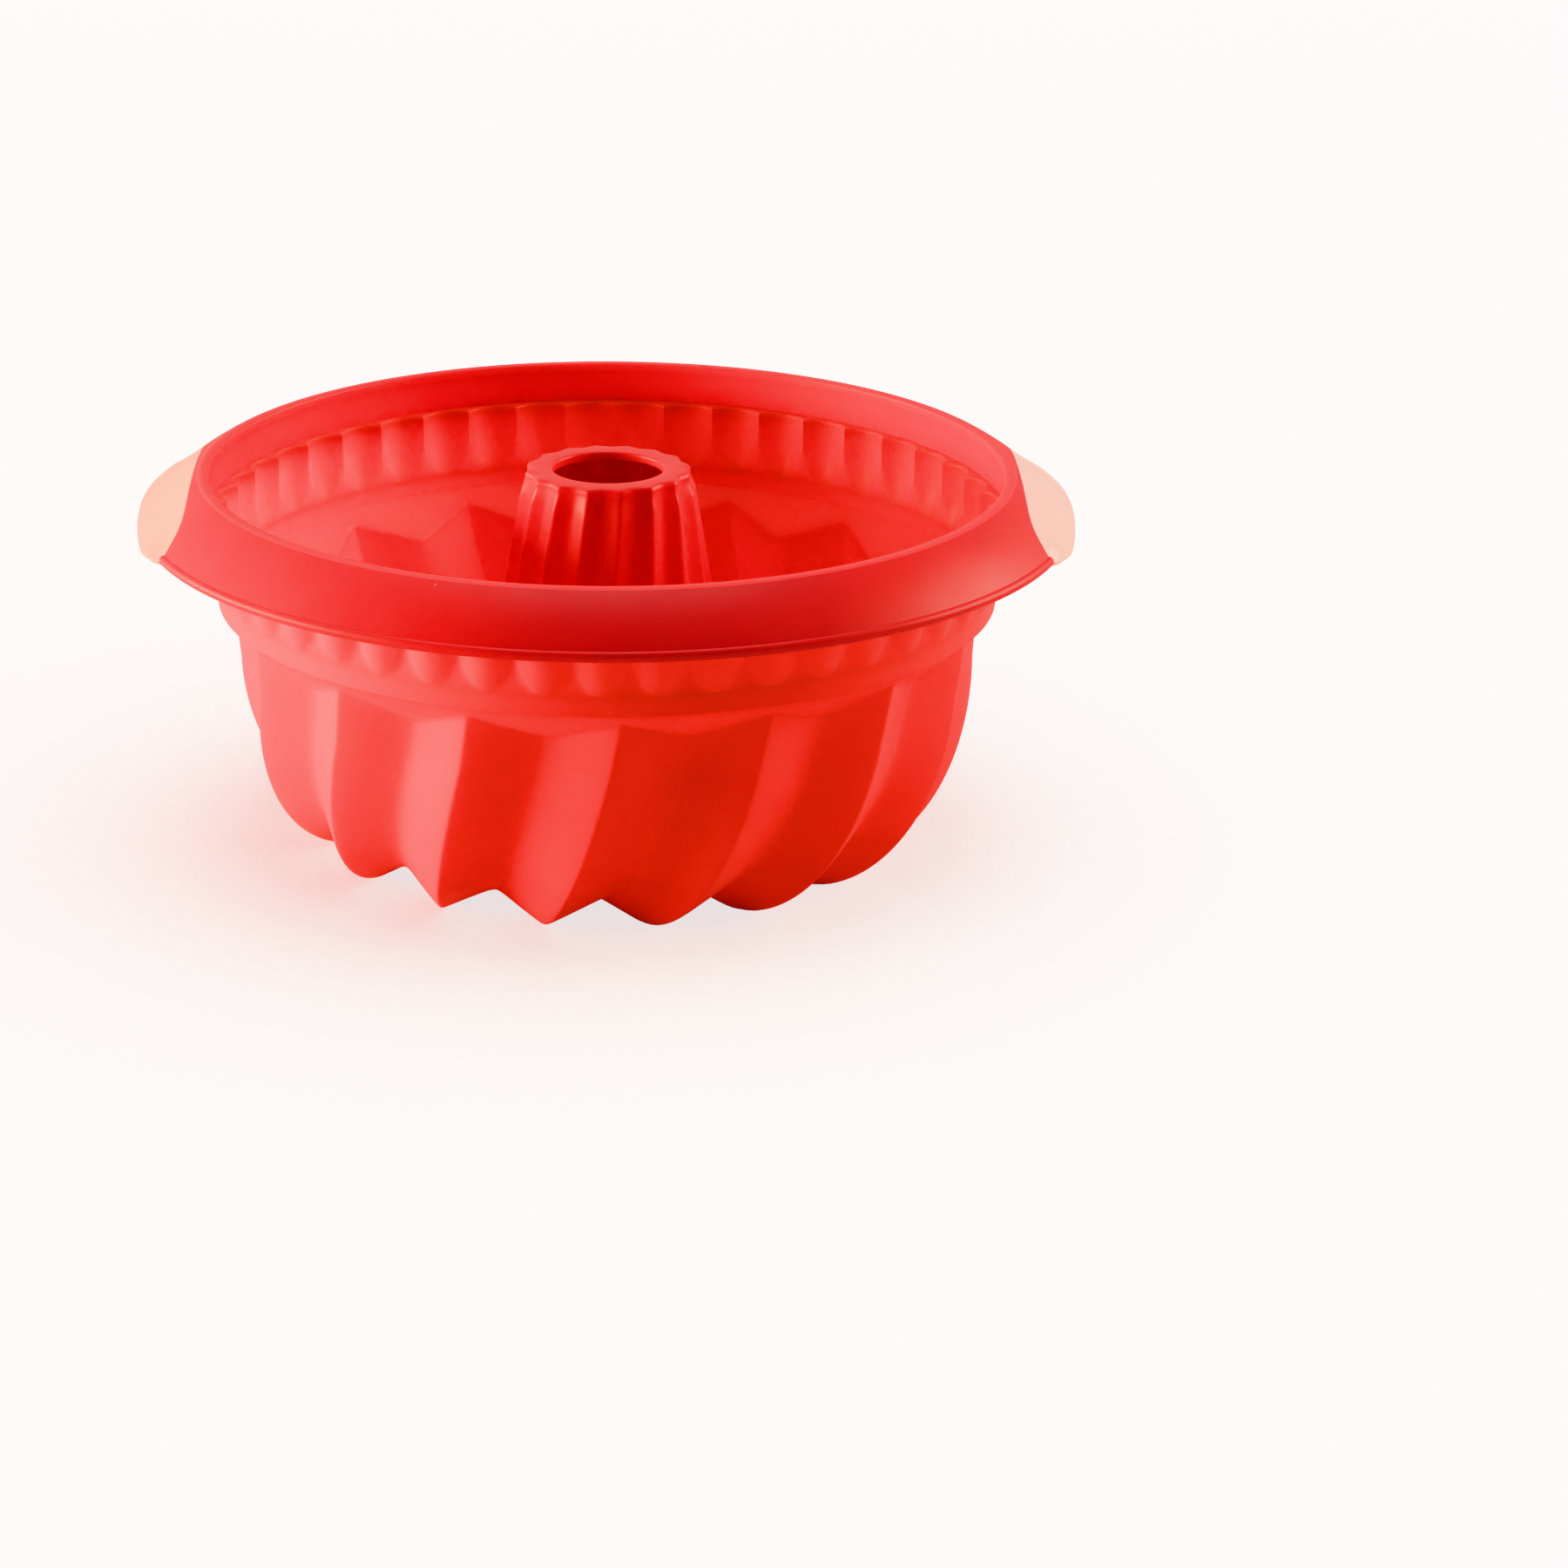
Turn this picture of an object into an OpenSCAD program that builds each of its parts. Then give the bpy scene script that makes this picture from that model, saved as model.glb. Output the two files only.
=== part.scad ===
// Fluted ring-cake mould with a centre tube, moulded in one piece from red silicone.
// +Z is up, the origin is at the middle of the resting plane, and the two grips lie on the X axis.
// Angles of the lobes and scallops are counted from -Y, the front, towards +X.

/* [Main sizes] */
// Radius of the top edge of the rim
rim_r = 120; // [110:1:130]
// Depth from the rim down to the keels of the lobes
mould_depth = 117; // [110:1:124]
// Thickness of the silicone
wall = 2.2; // [1.8:0.1:2.6]

/* [Skirt and grips] */
// Radius of the skirt's lower edge
skirt_r = 138.4; // [136:0.1:140]
// Drop from the rim to the skirt's lower edge
skirt_drop = 16.1; // [15:0.1:18]
// Height that the skirt's section bulges above a straight line
skirt_bulge = 0.9; // [0.5:0.1:1.5]
// Radius of the bead along the skirt's lower edge
bead_r = 1.6; // [1.5:0.1:1.8]
// Distance from the axis to the middle of a grip's free edge
grip_reach = 140.8; // [140:0.1:142]
// Radius of the grip's free edge, seen from above
grip_edge_r = 238; // [200:1:260]
// Distance from the axis to a grip's inner border
grip_inner = 123.8; // [123:0.1:126]
// Half the length of a grip along the skirt
grip_half = 51; // [46:1:54]

/* [Scalloped band] */
// Number of scallops round the band
scallops = 45; // [40:1:50]
// Depth of a scallop
scallop_d = 3.5; // [2:0.1:4]
// Angle of the first cusp
scallop_phase = 3; // [0:0.5:8]
// Outer radius of the band at a cusp
band_r = 117.3; // [117:0.1:117.8]
// Depth at which the scallops start
scallop_top = 12.6; // [12:0.1:14]
// Depth at which the scallops have run out
scallop_end = 33.4; // [31:0.1:35]

/* [Lobes] */
// Number of lobes, and of flutes on the tube
lobes = 16; // [12:1:18]
// Angle of the first keel at the top of the wall
lobe_phase = 1.9; // [0:0.1:10]
// Radius of the keels at the top of the wall
keel_top_r = 113; // [112:0.5:114]
// Depth of the keels at the top of the wall
keel_top_d = 43; // [42:0.5:45]
// Depth of the folds between the lobes on the wall
fold_wall = 8; // [6:0.5:9]
// Depth of the folds between the lobes on the floor
fold_floor = 8.5; // [6:0.5:9]
// Share of the spacing that a keel's blunt edge takes, on each side
keel_land = 0.03; // [0.02:0.01:0.05]
// Amount cut off the keels so that the mould stands flat
foot_cut = 0.5; // [0.4:0.1:0.8]

/* [Centre tube] */
// Radius of the hole in the collar
bore_r = 16.7; // [15:0.1:17.5]
// Depth of the collar's top below the rim
collar_top = 0.6; // [0.5:0.1:3]
// Thickness of the collar
collar_t = 2.5; // [2:0.1:3]
// Depth of the flutes at the collar
flute_d = 2.2; // [1.5:0.1:2.6]

/* [Hidden] */
$fn = 96;

// Every depth is counted down from the rim; this is the rim's height over the resting plane.
rim_z = mould_depth - foot_cut;

// Rim and skirt sections
edge_r = 1;
edge_in = rim_r - 0.8;
edge_out = edge_in + wall;
crest_out = rim_r + 1.5;
crest_roll = 3;
roll_angle = 30;
rim_wall_top = 2.6;
rim_wall_lean = 0.6;
skirt_start = [crest_out + crest_roll * sin(roll_angle), crest_roll * (1 - cos(roll_angle))];
skirt_end = [skirt_r - 0.1, skirt_drop - 3.1];
skirt_steps = 6;
grip_end = [skirt_r + 4.6, skirt_drop - 1.6];
grip_bulge = 1;
grip_steps = 16;
grip_bow = 5.5;
grip_bow_power = 10;
grip_corner = 5.6;
grip_corner_power = 14;
grip_cut_r = skirt_r + 20;
cut_depth = 40;
cut_h = 60;
bead_steps = 16;

// Band and ledge sections
band_foot_r = band_r + 0.2;
ledge_slope = 0.835;
ledge_rise = wall * norm([1, ledge_slope]);
scallop_fall = 13;
shelf_step = 4;
scallop_rows = [0, 0.3, 0.55, 0.75, 0.9, 1];
scallop_columns = [-1, -0.5, 0, 0.5];

// Keel line: an ellipse down from the wall to the floor, and a wider one up to the tube
keel_bottom_r = 77;
ellipse_d = 60;
ellipse_drop = mould_depth - ellipse_d;
outer_reach = 34.5;
inner_reach = 46.2;
tube_taper = 0.152;
keel_end = 180 - atan(tube_taper * ellipse_drop / inner_reach);
fold_radius = 0.15;
skin = wall * 1.1;
columns = [keel_land, 0.22, 0.4, 0.5, 0.6, 0.78, 1 - keel_land];
wall_rows = [0, 0.5, 1];
bend_angles = [18, 34, 48];
floor_angles = [48, 60, 71, 82, 90, 98, 112, 128, 144, 158, keel_end];
tube_rows = [0.25, 0.5, 0.75, 1];

// Swirl of the keel line, in degrees, as it runs down the wall and over the floor
swirl_start = -1.6;
swirl_rate = -0.13;
swirl_gain = -0.0005;
tube_swirl_top = -4.1;
tube_swirl_rate = 0.18;
foot_flute_d = flute_d + 0.7;
swirl_bottom = swirl_start + 90 * swirl_rate + 8100 * swirl_gain;
swirl_bottom_rate = swirl_rate + 180 * swirl_gain;

function down(p) = [p[0], rim_z - p[1]];
function around(r, depth, angle) = [r * sin(angle), -r * cos(angle), rim_z - depth];
function mix(a, b, f) = a + (b - a) * f;
function ease(f) = f * f * (3 - 2 * f);

// Point h below an arc that bulges above the line from a to b, f from 0 at a to 1 at b
function arc_point(a, b, bulge, f, h) =
    let (chord = norm(b - a), tilt = atan2(b[1] - a[1], b[0] - a[0]),
         r = (chord * chord / 4 + bulge * bulge) / (2 * bulge), half = asin(chord / 2 / r),
         center = (a + b) / 2 + (r - bulge) * [-sin(tilt), cos(tilt)],
         turn = tilt + mix(-half, half, f))
    center + (r - h) * [sin(turn), -cos(turn)];
function skirt_point(f, h) = arc_point(skirt_start, skirt_end, skirt_bulge, f, h);
function grip_point(f, h) = arc_point(skirt_start, grip_end, grip_bulge, f, h);

// Share of the full fold depth at u, the place across one lobe, from 0 at a keel to 1 at the next
function fold(u) =
    let (far = 0.5 - keel_land, x = 1 - max(0, min(u, 1 - u) - keel_land) / far)
    1 - (norm([x, fold_radius]) - fold_radius) / (norm([1, fold_radius]) - fold_radius);

// Keel line and its outward normal at the angle t of the ellipses
function reach(t) = t <= 90 ? outer_reach : inner_reach;
function keel(t) = [keel_bottom_r + reach(t) * cos(t), ellipse_d + ellipse_drop * sin(t)];
function keel_normal(t) =
    let (n = [cos(t) / reach(t), sin(t) / ellipse_drop]) n / norm(n);

function swirl(t) = t <= 90
    ? swirl_start + t * swirl_rate + t * t * swirl_gain
    : let (span = keel_end - 90, f = (t - 90) / span, g = 1 - f,
           up = tube_swirl(keel(keel_end)[1]), up_rate = tube_swirl_rate * ellipse_drop * PI / 180)
      g * g * (1 + 2 * f) * swirl_bottom + f * f * (3 - 2 * f) * up
      + span * f * g * (g * swirl_bottom_rate - f * up_rate);
function tube_swirl(depth) = tube_swirl_top - tube_swirl_rate * (depth - collar_top);
function fold_depth(t) = t <= 90
    ? mix(fold_wall, fold_floor, t / 90)
    : mix(fold_floor, foot_flute_d, ease((t - 90) / (keel_end - 90)));

function lobe_angles() = [for (i = [0:lobes - 1], u = columns) (i + u) * 360 / lobes + lobe_phase];
function lobe_share() = [for (i = [0:lobes - 1], u = columns) fold(u)];

// One ring of points across the lobes, at depth h inside the outer face
function bend_row(t, h) =
    let (p = keel(t), n = keel_normal(t), a = lobe_angles(), g = lobe_share())
    [for (i = [0:len(a) - 1])
        let (q = p - n * (h + fold_depth(t) * g[i]))
        around(q[0], min(q[1], rim_z), a[i] + swirl(t))];

function ledge_depth(r, h) = keel_top_d + (keel_top_r - r) * ledge_slope - (h > 0 ? ledge_rise : 0);
function wall_row(f, h) =
    let (a = lobe_angles(), g = lobe_share())
    [for (i = [0:len(a) - 1])
        let (r = mix(keel_top_r, keel(0)[0], f) - h - fold_wall * g[i],
             d = mix(ledge_depth(keel_top_r - h - fold_wall * g[i], h), ellipse_d, f))
        around(r, d, a[i] + swirl_start * f)];
function ledge_outer_row(h) =
    let (r = band_foot_r - h)
    [for (a = lobe_angles()) around(r, ledge_depth(r, h), a)];

// Tube: f from 0 at the foot of the tube to 1 under the collar
function tube_row(f, h) =
    let (foot = keel(keel_end), depth = mix(foot[1], collar_top + collar_t, f),
         r = foot[0] - tube_taper * (foot[1] - depth), d = mix(foot_flute_d, flute_d, f),
         a = lobe_angles(), g = lobe_share())
    [for (i = [0:len(a) - 1]) around(r + h + d * g[i], depth, a[i] + tube_swirl(depth))];

// Depth of the scallops, which fade out like a parabola towards the foot of the band
function scallop_reach(depth) =
    let (x = max(0, depth - (scallop_end - scallop_fall)) / scallop_fall)
    scallop_d * (1 - x * x);
// Ring at the share f of the band's height, with v from -1 to 1 across each scallop
function scallop_row(f, h) =
    let (depth = mix(scallop_top + wall, scallop_end, f), pitch = 360 / scallops)
    [for (i = [0:scallops - 1], v = scallop_columns)
        let (bulge = max(0, scallop_reach(depth) - scallop_d * v * v))
        around(band_r - h + bulge, depth, scallop_phase + (i + (1 + v) / 2) * pitch)];

// Closed shell between an outer and an inner stack of point rings, both listed from the top down
module ring_shell(outer, inner) {
    n = len(outer[0]);
    rows = len(outer);
    base = rows * n;
    points = [for (row = concat(outer, inner), p = row) p];
    outer_faces = [for (r = [0:rows - 2], i = [0:n - 1])
        let (a = r * n + i, b = r * n + (i + 1) % n, c = a + n, d = b + n)
        each [[a, b, d], [a, d, c]]];
    inner_faces = [for (f = outer_faces) [f[0] + base, f[2] + base, f[1] + base]];
    top_faces = [for (i = [0:n - 1])
        let (a = i, b = (i + 1) % n)
        each [[a, a + base, b + base], [a, b + base, b]]];
    last = (rows - 1) * n;
    bottom_faces = [for (f = top_faces) [f[0] + last, f[2] + last, f[1] + last]];
    polyhedron(points, concat(outer_faces, inner_faces, top_faces, bottom_faces), convexity = 12);
}

module revolve(section) {
    rotate_extrude() polygon([for (p = section) down(p)]);
}

// Plan of a grip's border with the skirt, on the +X side, and of its free edge
function grip_border() = [for (i = [-grip_steps:grip_steps])
    let (f = i / grip_steps) [grip_inner + grip_bow * pow(abs(f), grip_bow_power), f * grip_half]];
function grip_edge() = [for (i = [grip_steps:-1:-grip_steps])
    let (f = i / grip_steps, y = f * grip_half)
    [grip_reach - y * y / (2 * grip_edge_r) - grip_corner * pow(abs(f), grip_corner_power), y]];

// Upright block over a plan outline, on the +X side or mirrored to the -X side
module grip_block(outline, side) {
    mirror([side < 0 ? 1 : 0, 0, 0]) translate([0, 0, rim_z - cut_depth])
        linear_extrude(cut_h) polygon(outline);
}

// Cut through the skirt and its bead where a grip takes their place
module grip_cut(side) {
    grip_block(concat(grip_border(), [[grip_cut_r, grip_half], [grip_cut_r, -grip_half]]), side);
}

module skirt_plate() {
    upper = [for (i = [0:skirt_steps]) skirt_point(i / skirt_steps, 0)];
    lower = [for (i = [skirt_steps:-1:0]) skirt_point(i / skirt_steps, wall)];
    revolve(concat(upper, lower));
}

module rim_edge() {
    color("tomato") revolve(concat(
        [for (a = [180:15:270]) [edge_in + edge_r + edge_r * cos(a), edge_r + edge_r * sin(a)]],
        [for (a = [0:10:roll_angle]) [crest_out + crest_roll * sin(a), crest_roll * (1 - cos(a))]],
        [skirt_point(0, wall), [edge_out, rim_wall_top], [edge_in, rim_wall_top]]
    ));
}

module inner_rim_wall() {
    color("red") revolve([
        [edge_in, rim_wall_top], [edge_out, rim_wall_top],
        [edge_out + rim_wall_lean, scallop_top], [edge_in + rim_wall_lean, scallop_top]
    ]);
}

module scallop_shelf() {
    inner = scallop_row(0, wall);
    outer_r = edge_out + rim_wall_lean;
    color("salmon") translate([0, 0, rim_z - scallop_top - wall]) difference() {
        linear_extrude(wall) polygon([for (a = [0:shelf_step:359]) outer_r * [cos(a), sin(a)]]);
        translate([0, 0, -1]) linear_extrude(wall + 2) polygon([for (p = inner) [p[0], p[1]]]);
    }
}

module skirt() {
    color("crimson") difference() {
        skirt_plate();
        grip_cut(1);
        grip_cut(-1);
    }
}

// The bead is a round bar whose flat inner side is the end face of the skirt's plate.
module skirt_bead() {
    top = skirt_point(1, 0);
    middle = (top + skirt_point(1, wall)) / 2;
    face = atan2(top[1] - middle[1], top[0] - middle[0]);
    gap = asin(wall / 2 / bead_r);
    center = middle + bead_r * cos(gap) * [cos(face + 90), sin(face + 90)];
    color("tomato") difference() {
        revolve([for (i = [0:bead_steps])
            let (a = face + mix(gap - 90, 270 - gap, i / bead_steps))
            center + bead_r * [cos(a), sin(a)]]);
        grip_cut(1);
        grip_cut(-1);
    }
}

module grip(side) {
    upper = [for (i = [0:skirt_steps]) grip_point(i / skirt_steps, 0)];
    lower = [for (i = [skirt_steps:-1:0]) grip_point(i / skirt_steps, wall)];
    color("lightpink") intersection() {
        revolve(concat(upper, lower));
        grip_block(concat(grip_border(), grip_edge()), side);
    }
}

module left_grip() { grip(-1); }
module right_grip() { grip(1); }

module scalloped_band() {
    color("orangered") ring_shell(
        [for (f = scallop_rows) scallop_row(f, 0)],
        [for (f = scallop_rows) scallop_row(f, wall)]
    );
}

module smooth_band() {
    foot_out = ledge_depth(band_foot_r, 0);
    foot_in_r = band_foot_r - skin;
    color("tomato") revolve([
        [band_r, scallop_end], [band_foot_r, foot_out],
        [foot_in_r, ledge_depth(foot_in_r, skin)], [band_r - wall, scallop_end]
    ]);
}

module ledge_ring() {
    color("orangered") ring_shell(
        [ledge_outer_row(0), wall_row(0, 0)],
        [ledge_outer_row(skin), wall_row(0, skin)]
    );
}

module lobed_wall() {
    color("red") ring_shell(
        concat([for (f = wall_rows) wall_row(f, 0)], [for (t = bend_angles) bend_row(t, 0)]),
        concat([for (f = wall_rows) wall_row(f, skin)], [for (t = bend_angles) bend_row(t, skin)])
    );
}

module lobed_floor() {
    color("firebrick") ring_shell(
        [for (t = floor_angles) bend_row(t, 0)],
        [for (t = floor_angles) bend_row(t, skin)]
    );
}

module centre_tube() {
    color("darkred") ring_shell(
        concat([bend_row(keel_end, 0)], [for (f = tube_rows) tube_row(f, 0)]),
        concat([bend_row(keel_end, skin)], [for (f = tube_rows) tube_row(f, skin)])
    );
}

module tube_collar() {
    color("salmon") translate([0, 0, rim_z - collar_top - collar_t]) difference() {
        linear_extrude(collar_t) polygon([for (p = tube_row(1, skin)) [p[0], p[1]]]);
        translate([0, 0, -1]) cylinder(h = collar_t + 2, r = bore_r);
    }
}

rim_edge();
inner_rim_wall();
skirt();
skirt_bead();
left_grip();
right_grip();
scallop_shelf();
scalloped_band();
smooth_band();
ledge_ring();
lobed_wall();
lobed_floor();
centre_tube();
tube_collar();
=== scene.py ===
"""Fluted ring-cake mould of red silicone with a centre tube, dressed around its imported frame.

The mould is one moulding, so its pieces are zones that meet face to face. Sizes are in millimetres,
depths are counted down from the rim, and angles run from -Y, the front, towards +X.
"""

from __future__ import annotations

import logging
import math
from collections.abc import Callable, Sequence
from dataclasses import dataclass
from enum import Enum

import bpy
from mathutils import Matrix, Vector


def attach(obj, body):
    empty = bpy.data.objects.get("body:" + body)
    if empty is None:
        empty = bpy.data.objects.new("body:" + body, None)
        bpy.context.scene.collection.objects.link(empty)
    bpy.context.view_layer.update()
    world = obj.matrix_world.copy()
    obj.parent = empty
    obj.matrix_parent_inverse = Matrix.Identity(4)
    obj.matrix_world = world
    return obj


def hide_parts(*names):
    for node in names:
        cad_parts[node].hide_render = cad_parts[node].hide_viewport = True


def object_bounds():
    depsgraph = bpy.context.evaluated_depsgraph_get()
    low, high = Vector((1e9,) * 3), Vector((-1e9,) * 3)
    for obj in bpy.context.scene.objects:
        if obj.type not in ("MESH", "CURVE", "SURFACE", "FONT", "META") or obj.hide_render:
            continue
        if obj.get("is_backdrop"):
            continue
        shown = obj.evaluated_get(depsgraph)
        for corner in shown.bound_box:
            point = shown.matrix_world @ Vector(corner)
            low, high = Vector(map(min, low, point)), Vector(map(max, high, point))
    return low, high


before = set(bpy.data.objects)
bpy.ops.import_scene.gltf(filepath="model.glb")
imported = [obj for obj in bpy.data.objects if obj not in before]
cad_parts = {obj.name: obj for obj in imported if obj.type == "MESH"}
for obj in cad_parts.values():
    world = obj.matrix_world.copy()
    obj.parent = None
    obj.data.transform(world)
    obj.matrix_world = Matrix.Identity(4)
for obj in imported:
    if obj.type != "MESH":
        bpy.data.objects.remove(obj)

LOG = logging.getLogger("ring_mould")
MM = 0.001
BODY = "root"
WELD = 0.002 * MM
CREASE = math.radians(28)
BAND_CREASE = math.radians(50)
LOBE_CREASE = math.radians(42)
BISECTIONS = 40

Pair = tuple[float, float]


def mix(a: float, b: float, share: float) -> float:
    """Returns the value at a share of the way from a to b."""
    return a + (b - a) * share


def ease(share: float) -> float:
    """Returns a share with a soft start and a soft end."""
    return share * share * (3 - 2 * share)


def spread(count: int, close: float = 0.02) -> list[float]:
    """Returns shares from 0 to 1, with one more close to each end so that shading meets at seams.

    Args:
        count: Number of even steps.
        close: Distance of the extra shares from the ends.

    Returns:
        The shares in rising order.
    """
    even = [i / count for i in range(count + 1)]
    return [0.0, close, *even[1:-1], 1 - close, 1.0]


def quarter(steps: int = 6) -> list[float]:
    """Returns angles from 0 to a quarter turn in even steps, in radians."""
    return [math.pi / 2 * i / steps for i in range(steps + 1)]


def linear(code: str) -> tuple[float, float, float, float]:
    """Turns an sRGB hex colour into linear RGBA.

    Args:
        code: Six hex digits after a hash.

    Returns:
        Linear red, green and blue, and an alpha of one.
    """
    parts = [int(code[i : i + 2], 16) / 255 for i in (1, 3, 5)]
    low = [c / 12.92 if c <= 0.04045 else ((c + 0.055) / 1.055) ** 2.4 for c in parts]
    return (low[0], low[1], low[2], 1.0)


# ---------------------------------------------------------------- form


@dataclass(frozen=True)
class Arc:
    """Section arc that bulges above the line from start to end, in radius and depth."""

    start: Pair
    end: Pair
    bulge: float

    @property
    def tilt(self) -> float:
        """Slope of the line from start to end, in radians."""
        return math.atan2(self.end[1] - self.start[1], self.end[0] - self.start[0])

    @property
    def radius(self) -> float:
        """Radius of the arc."""
        chord = math.dist(self.start, self.end)
        return (chord * chord / 4 + self.bulge * self.bulge) / (2 * self.bulge)

    @property
    def half(self) -> float:
        """Half of the angle that the arc spans, in radians."""
        return math.asin(math.dist(self.start, self.end) / 2 / self.radius)

    @property
    def centre(self) -> Pair:
        """Centre of the arc."""
        drop = self.radius - self.bulge
        r = (self.start[0] + self.end[0]) / 2 - drop * math.sin(self.tilt)
        d = (self.start[1] + self.end[1]) / 2 + drop * math.cos(self.tilt)
        return (r, d)

    def point(self, share: float, under: float) -> Pair:
        """Gives a point of the plate whose upper face is this arc.

        Args:
            share: Place along the arc, 0 at its start and 1 at its end.
            under: Distance below the upper face.

        Returns:
            Radius and depth.
        """
        turn = self.tilt + mix(-self.half, self.half, share)
        reach = self.radius - under
        return (self.centre[0] + reach * math.sin(turn), self.centre[1] - reach * math.cos(turn))

    def share_at(self, radius: float) -> float:
        """Returns the share along the arc at which it has this radius from the mould's axis."""
        turn = math.asin((radius - self.centre[0]) / self.radius)
        return (turn - self.tilt + self.half) / (2 * self.half)


@dataclass(frozen=True)
class MouldForm:
    """Driving sizes of the mould and the rules of its faces."""

    rim_z: float
    wall: float = 2.2
    skin: float = 2.42
    edge_in: float = 119.2
    edge_out: float = 121.4
    edge_r: float = 1.0
    crest_out: float = 121.5
    crest_roll: float = 3.0
    roll_angle: float = 30.0
    rim_wall_top: float = 2.6
    rim_wall_lean: float = 0.6
    skirt_r: float = 138.4
    skirt_drop: float = 16.1
    skirt_end: Pair = (0.1, 3.1)
    skirt_bulge: float = 0.9
    grip_end: Pair = (4.6, 1.6)
    grip_bulge: float = 1.0
    scallops: int = 45
    scallop_d: float = 3.5
    scallop_phase: float = 3.0
    scallop_top: float = 12.6
    scallop_end: float = 33.4
    scallop_fall: float = 13.0
    scallop_soft: float = 0.3
    band_r: float = 117.3
    band_flare: float = 0.2
    band_foot: float = 6.0
    lobes: int = 16
    lobe_phase: float = 1.9
    keel_top_r: float = 113.0
    keel_top_d: float = 43.0
    ledge_slope: float = 0.835
    fold_wall: float = 8.0
    fold_floor: float = 8.5
    fold_soft: float = 0.15
    keel_soft: float = 0.014
    keel_bottom_r: float = 77.0
    ellipse_d: float = 60.0
    ellipse_drop: float = 57.0
    outer_reach: float = 34.5
    inner_reach: float = 46.2
    tube_taper: float = 0.152
    collar_top: float = 0.6
    collar_t: float = 2.5
    bore_r: float = 16.7
    flute_d: float = 2.2
    flute_foot: float = 2.9
    flute_fade: float = 0.8
    swirl_start: float = -1.6
    swirl_rate: float = -0.13
    swirl_gain: float = -0.0005
    tube_swirl_top: float = -4.1
    tube_swirl_rate: float = 0.18

    @property
    def skirt_start(self) -> Pair:
        """End of the rim's roll, where the skirt begins."""
        turn = math.radians(self.roll_angle)
        r = self.crest_out + self.crest_roll * math.sin(turn)
        return (r, self.crest_roll * (1 - math.cos(turn)))

    @property
    def skirt_arc(self) -> Arc:
        """Upper face of the skirt's plate."""
        end = (self.skirt_r - self.skirt_end[0], self.skirt_drop - self.skirt_end[1])
        return Arc(self.skirt_start, end, self.skirt_bulge)

    @property
    def grip_arc(self) -> Arc:
        """Upper face of the grips' plates, away from their borders."""
        end = (self.skirt_r + self.grip_end[0], self.skirt_drop - self.grip_end[1])
        return Arc(self.skirt_start, end, self.grip_bulge)

    @property
    def keel_end(self) -> float:
        """Angle of the keel's ellipse at which the tube's straight wall takes over, in degrees."""
        slope = self.tube_taper * self.ellipse_drop / self.inner_reach
        return 180 - math.degrees(math.atan(slope))

    def around(self, radius: float, depth: float, angle: float) -> Vector:
        """Gives a place in metres.

        Args:
            radius: Distance from the axis.
            depth: Depth below the rim.
            angle: Degrees from -Y towards +X.

        Returns:
            The place in the mould's frame.
        """
        turn = math.radians(angle)
        place = Vector((radius * math.sin(turn), -radius * math.cos(turn), self.rim_z - depth))
        return place * MM

    # Scalloped band

    def scallop_bulge(self, across: float, depth: float) -> float:
        """Gives how far a scallop stands out, fading like a parabola towards its foot.

        Args:
            across: Place across the scallop, from -1 to 1.
            depth: Depth below the rim.

        Returns:
            Distance outside the band's plain face.
        """
        fall = max(0.0, depth - (self.scallop_end - self.scallop_fall)) / self.scallop_fall
        proud = self.scallop_d * (1 - fall * fall - across * across)
        return (proud + math.hypot(proud, self.scallop_soft)) / 2

    def band_radius(self, column: float, depth: float) -> float:
        """Returns the band's outer radius at a column counted in scallops from the first cusp."""
        across = 2 * (column % 1) - 1
        return self.band_r + self.scallop_bulge(across, depth)

    def scallop_angle(self, column: float) -> float:
        """Returns the angle of a column counted in scallops."""
        return self.scallop_phase + column * 360 / self.scallops

    # Lobes and tube

    def fold_share(self, column: float) -> float:
        """Gives the share of the full fold depth across one lobe.

        Args:
            column: Place counted in lobes, a whole number at a keel.

        Returns:
            0 on the keel and 1 in the fold.
        """
        near = min(column % 1, 1 - column % 1)
        run = math.hypot(near, self.keel_soft) - self.keel_soft
        full = math.hypot(0.5, self.keel_soft) - self.keel_soft
        rest = 1 - run / full
        soft = self.fold_soft
        return 1 - (math.hypot(rest, soft) - soft) / (math.hypot(1, soft) - soft)

    def ledge_depth(self, radius: float, inside: float) -> float:
        """Returns the ledge's depth at a radius, on its outer or, if inside is over 0, inner face."""
        rise = self.wall * math.hypot(1, self.ledge_slope) if inside > 0 else 0.0
        return self.keel_top_d + (self.keel_top_r - radius) * self.ledge_slope - rise

    def tube_swirl(self, depth: float) -> float:
        """Returns the swirl of the tube's flutes at a depth, in degrees."""
        return self.tube_swirl_top - self.tube_swirl_rate * (depth - self.collar_top)

    def keel(self, turn: float) -> Pair:
        """Returns the keel line's radius and depth at an angle of its ellipse, in degrees."""
        reach = self.outer_reach if turn <= 90 else self.inner_reach
        angle = math.radians(turn)
        r = self.keel_bottom_r + reach * math.cos(angle)
        return (r, self.ellipse_d + self.ellipse_drop * math.sin(angle))

    def swirl(self, turn: float) -> float:
        """Returns the swirl of the keels at an angle of the ellipse, both in degrees."""
        def outer(t: float) -> float:
            return self.swirl_start + t * self.swirl_rate + t * t * self.swirl_gain

        if turn <= 90:
            return outer(turn)
        span = self.keel_end - 90
        f = (turn - 90) / span
        g = 1 - f
        top = self.tube_swirl(self.keel(self.keel_end)[1])
        top_rate = math.radians(self.tube_swirl_rate * self.ellipse_drop)
        rate = self.swirl_rate + 180 * self.swirl_gain
        level = g * g * (1 + 2 * f) * outer(90) + f * f * (3 - 2 * f) * top
        return level + span * f * g * (g * rate - f * top_rate)

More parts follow.
